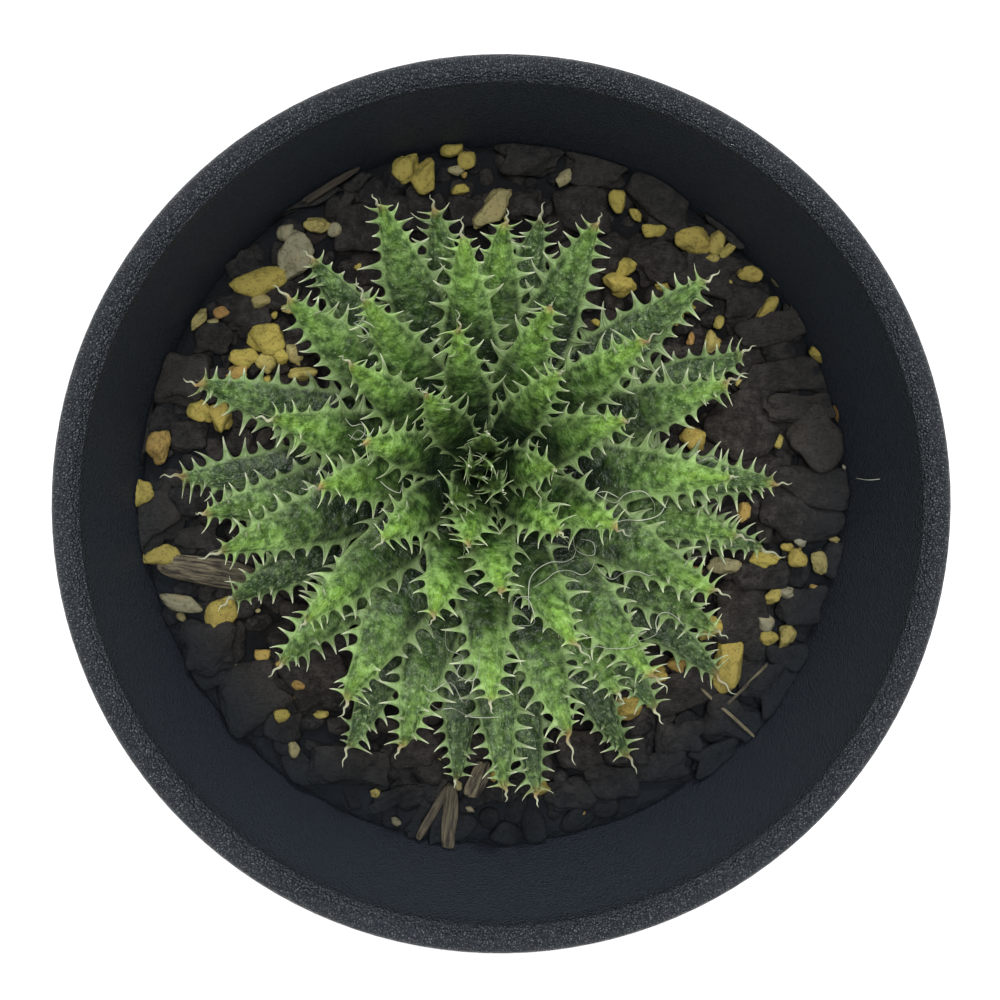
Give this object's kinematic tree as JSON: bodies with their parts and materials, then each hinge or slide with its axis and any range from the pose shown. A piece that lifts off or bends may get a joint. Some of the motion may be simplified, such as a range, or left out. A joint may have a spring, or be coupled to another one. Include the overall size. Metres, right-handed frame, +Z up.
{
  "type": "potted haworthia maraisii",
  "caption": "Small rosette succulent with pointed, toothed, keeled leaves, growing in a round tapered plastic nursery pot filled with bark and pumice potting mix.",
  "frame": {"origin": "middle of the pot's foot ring, on the surface that the pot stands on", "axes": "+Z up, through the middle of the pot; +X is the picture's right and +Y the picture's top"},
  "size_m": [0.085, 0.085, 0.0762],
  "materials": {
    "pot_plastic": "fine grained matte plastic, a little worn on the rim",
    "bark_mix": "dark bark chips with pale yellow pumice pebbles",
    "stem_tissue": "pale dry stem and roots",
    "leaf_bright": "waxy mottled green with paler teeth",
    "leaf_dull": "waxy dull bluish green with dry tips"
  },
  "bodies": {
    "root": {"pot": "pot_plastic", "potting_mix": "bark_mix", "stem_and_roots": "stem_tissue", "heart_leaves": "leaf_bright", "leaf_01": "leaf_bright", "leaf_02": "leaf_bright", "leaf_03": "leaf_bright", "leaf_04": "leaf_bright", "leaf_05": "leaf_bright", "leaf_06": "leaf_bright", "leaf_07": "leaf_bright", "leaf_08": "leaf_bright", "leaf_09": "leaf_bright", "leaf_10": "leaf_bright", "leaf_11": "leaf_bright", "leaf_12": "leaf_bright", "leaf_13": "leaf_bright", "leaf_14": "leaf_bright", "leaf_15": "leaf_bright", "leaf_16": "leaf_bright", "leaf_17": "leaf_bright", "leaf_18": "leaf_bright", "leaf_19": "leaf_bright", "leaf_20": "leaf_bright", "leaf_21": "leaf_bright", "leaf_22": "leaf_bright", "leaf_23": "leaf_bright", "leaf_24": "leaf_bright", "leaf_25": "leaf_bright", "leaf_26": "leaf_bright", "leaf_27": "leaf_bright", "leaf_28": "leaf_bright", "leaf_29": "leaf_bright", "leaf_30": "leaf_bright", "leaf_31": "leaf_bright", "leaf_32": "leaf_bright", "leaf_33": "leaf_bright", "leaf_34": "leaf_bright", "leaf_35": "leaf_bright", "leaf_36": "leaf_bright", "leaf_37": "leaf_dull", "leaf_38": "leaf_dull", "leaf_39": "leaf_dull", "leaf_40": "leaf_dull", "leaf_41": "leaf_dull", "leaf_42": "leaf_dull", "leaf_43": "leaf_dull", "leaf_44": "leaf_dull", "leaf_45": "leaf_dull", "leaf_46": "leaf_dull", "leaf_47": "leaf_dull", "leaf_48": "leaf_dull", "leaf_49": "leaf_dull", "leaf_50": "leaf_dull", "leaf_51": "leaf_dull", "leaf_52": "leaf_dull", "leaf_53": "leaf_dull", "leaf_54": "leaf_dull", "leaf_55": "leaf_dull", "leaf_56": "leaf_dull"}
  },
  "joints": []
}
